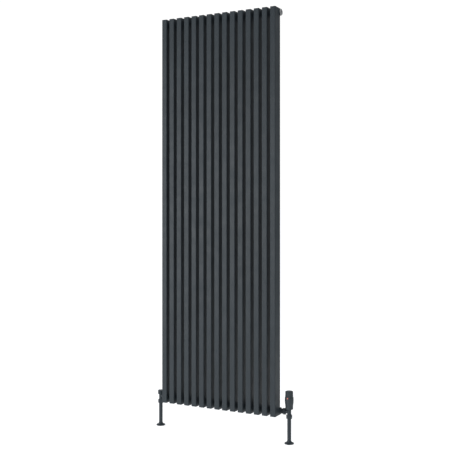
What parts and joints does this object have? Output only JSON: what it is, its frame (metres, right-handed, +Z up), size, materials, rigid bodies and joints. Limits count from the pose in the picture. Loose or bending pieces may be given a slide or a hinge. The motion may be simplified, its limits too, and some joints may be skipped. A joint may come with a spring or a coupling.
{
  "type": "vertical radiator with valves",
  "caption": "Tall vertical tube radiator in anthracite with a thermostatic valve, a lockshield valve, sleeved floor pipes and wall brackets.",
  "frame": {"origin": "on the floor, midway between the two pipe centres, below the header axis", "axes": "+X towards the thermostatic valve, +Y into the wall, +Z up"},
  "size_m": [0.712, 0.112, 1.924],
  "materials": {
    "panel_paint": "satin",
    "valve_paint": "satin",
    "head_plastic": "satin",
    "white_plastic": "matte",
    "index_colour": "satin",
    "vent_metal": "satin",
    "brass": "satin",
    "copper": "satin",
    "spring_steel": "satin",
    "seal_rubber": "matte",
    "sensor_metal": "satin",
    "fibre": "matte"
  },
  "bodies": {
    "radiator": {"air_vent_plug": "vent_metal", "blanking_plug": "vent_metal", "bottom_header": "panel_paint", "bracket_grub_screws": "spring_steel", "compression_nuts": "valve_paint", "hanger_pegs": "panel_paint", "header_end_bosses": "panel_paint", "lockshield_body": "valve_paint", "lockshield_gland": "brass", "olives": "copper", "plug_o_rings": "seal_rubber", "return_pipe": "copper", "return_pipe_sleeve": "valve_paint", "stem_o_rings": "seal_rubber", "supply_pipe": "copper", "supply_pipe_sleeve": "valve_paint", "top_header": "panel_paint", "trv_body": "valve_paint", "trv_head_ring": "head_plastic", "trv_head_shell": "head_plastic", "trv_index_dot": "index_colour", "trv_insert": "brass", "trv_return_spring": "spring_steel", "tube_01": "panel_paint", "tube_02": "panel_paint", "tube_03": "panel_paint", "tube_04": "panel_paint", "tube_05": "panel_paint", "tube_06": "panel_paint", "tube_07": "panel_paint", "tube_08": "panel_paint", "tube_09": "panel_paint", "tube_10": "panel_paint", "tube_11": "panel_paint", "tube_12": "panel_paint", "tube_13": "panel_paint", "tube_14": "panel_paint", "tube_15": "panel_paint", "tube_end_caps": "panel_paint", "union_nuts": "valve_paint", "union_tails": "valve_paint", "union_washers": "fibre", "wall_bracket_bottom_left": "panel_paint", "wall_bracket_bottom_right": "panel_paint", "wall_bracket_top_left": "panel_paint", "wall_bracket_top_right": "panel_paint"},
    "trv_knob": {"trv_head_cap": "head_plastic"},
    "trv_stem": {"trv_pin": "spring_steel", "trv_valve_disc": "brass", "trv_disc_washer": "seal_rubber", "trv_plunger": "sensor_metal", "trv_sensor_capsule": "sensor_metal", "trv_safety_spring": "spring_steel", "trv_setting_nut": "white_plastic"},
    "vent_screw": {"vent_bleed_screw": "vent_metal"},
    "lock_cap": {"lockshield_cap": "valve_paint"},
    "lock_spindle": {"lockshield_spindle": "brass"},
    "lock_plug": {"lockshield_plug": "brass"},
    "supply_collar": {"supply_floor_collar": "valve_paint"},
    "return_collar": {"return_floor_collar": "valve_paint"}
  },
  "joints": [
    {"name": "trv_knob_turn", "type": "hinge", "parent": "radiator", "child": "trv_knob", "pos_m": [0.335, 0, 0.22], "axis": [0, 0, 1], "range_deg": [0, 300]},
    {"name": "trv_stem_lift", "type": "slide", "parent": "radiator", "child": "trv_stem", "axis": [0, 0, 1], "range_m": [0, 0.0025], "deforming": ["trv_return_spring"]},
    {"name": "vent_screw_turn", "type": "hinge", "parent": "radiator", "child": "vent_screw", "pos_m": [0.2965, 0, 1.9075], "axis": [1, 0, 0], "range_deg": [0, 360]},
    {"name": "lock_cap_pull", "type": "slide", "parent": "radiator", "child": "lock_cap", "axis": [0, 0, 1], "range_m": [0, 0.03]},
    {"name": "lock_spindle_turn", "type": "hinge", "parent": "radiator", "child": "lock_spindle", "pos_m": [-0.335, 0, 0.155], "axis": [0, 0, 1], "range_deg": [0, 1080]},
    {"name": "lock_plug_lift", "type": "slide", "parent": "radiator", "child": "lock_plug", "axis": [0, 0, 1], "range_m": [0, 0.003]},
    {"name": "supply_collar_lift", "type": "slide", "parent": "radiator", "child": "supply_collar", "axis": [0, 0, 1], "range_m": [0, 0.09]},
    {"name": "return_collar_lift", "type": "slide", "parent": "radiator", "child": "return_collar", "axis": [0, 0, 1], "range_m": [0, 0.09]}
  ],
  "couplings": [
    {"joint": "trv_knob_turn", "follows": "trv_stem_lift", "rad_per_m": 2094.4},
    {"joint": "lock_spindle_turn", "follows": "lock_plug_lift", "rad_per_m": 6283.2}
  ]
}
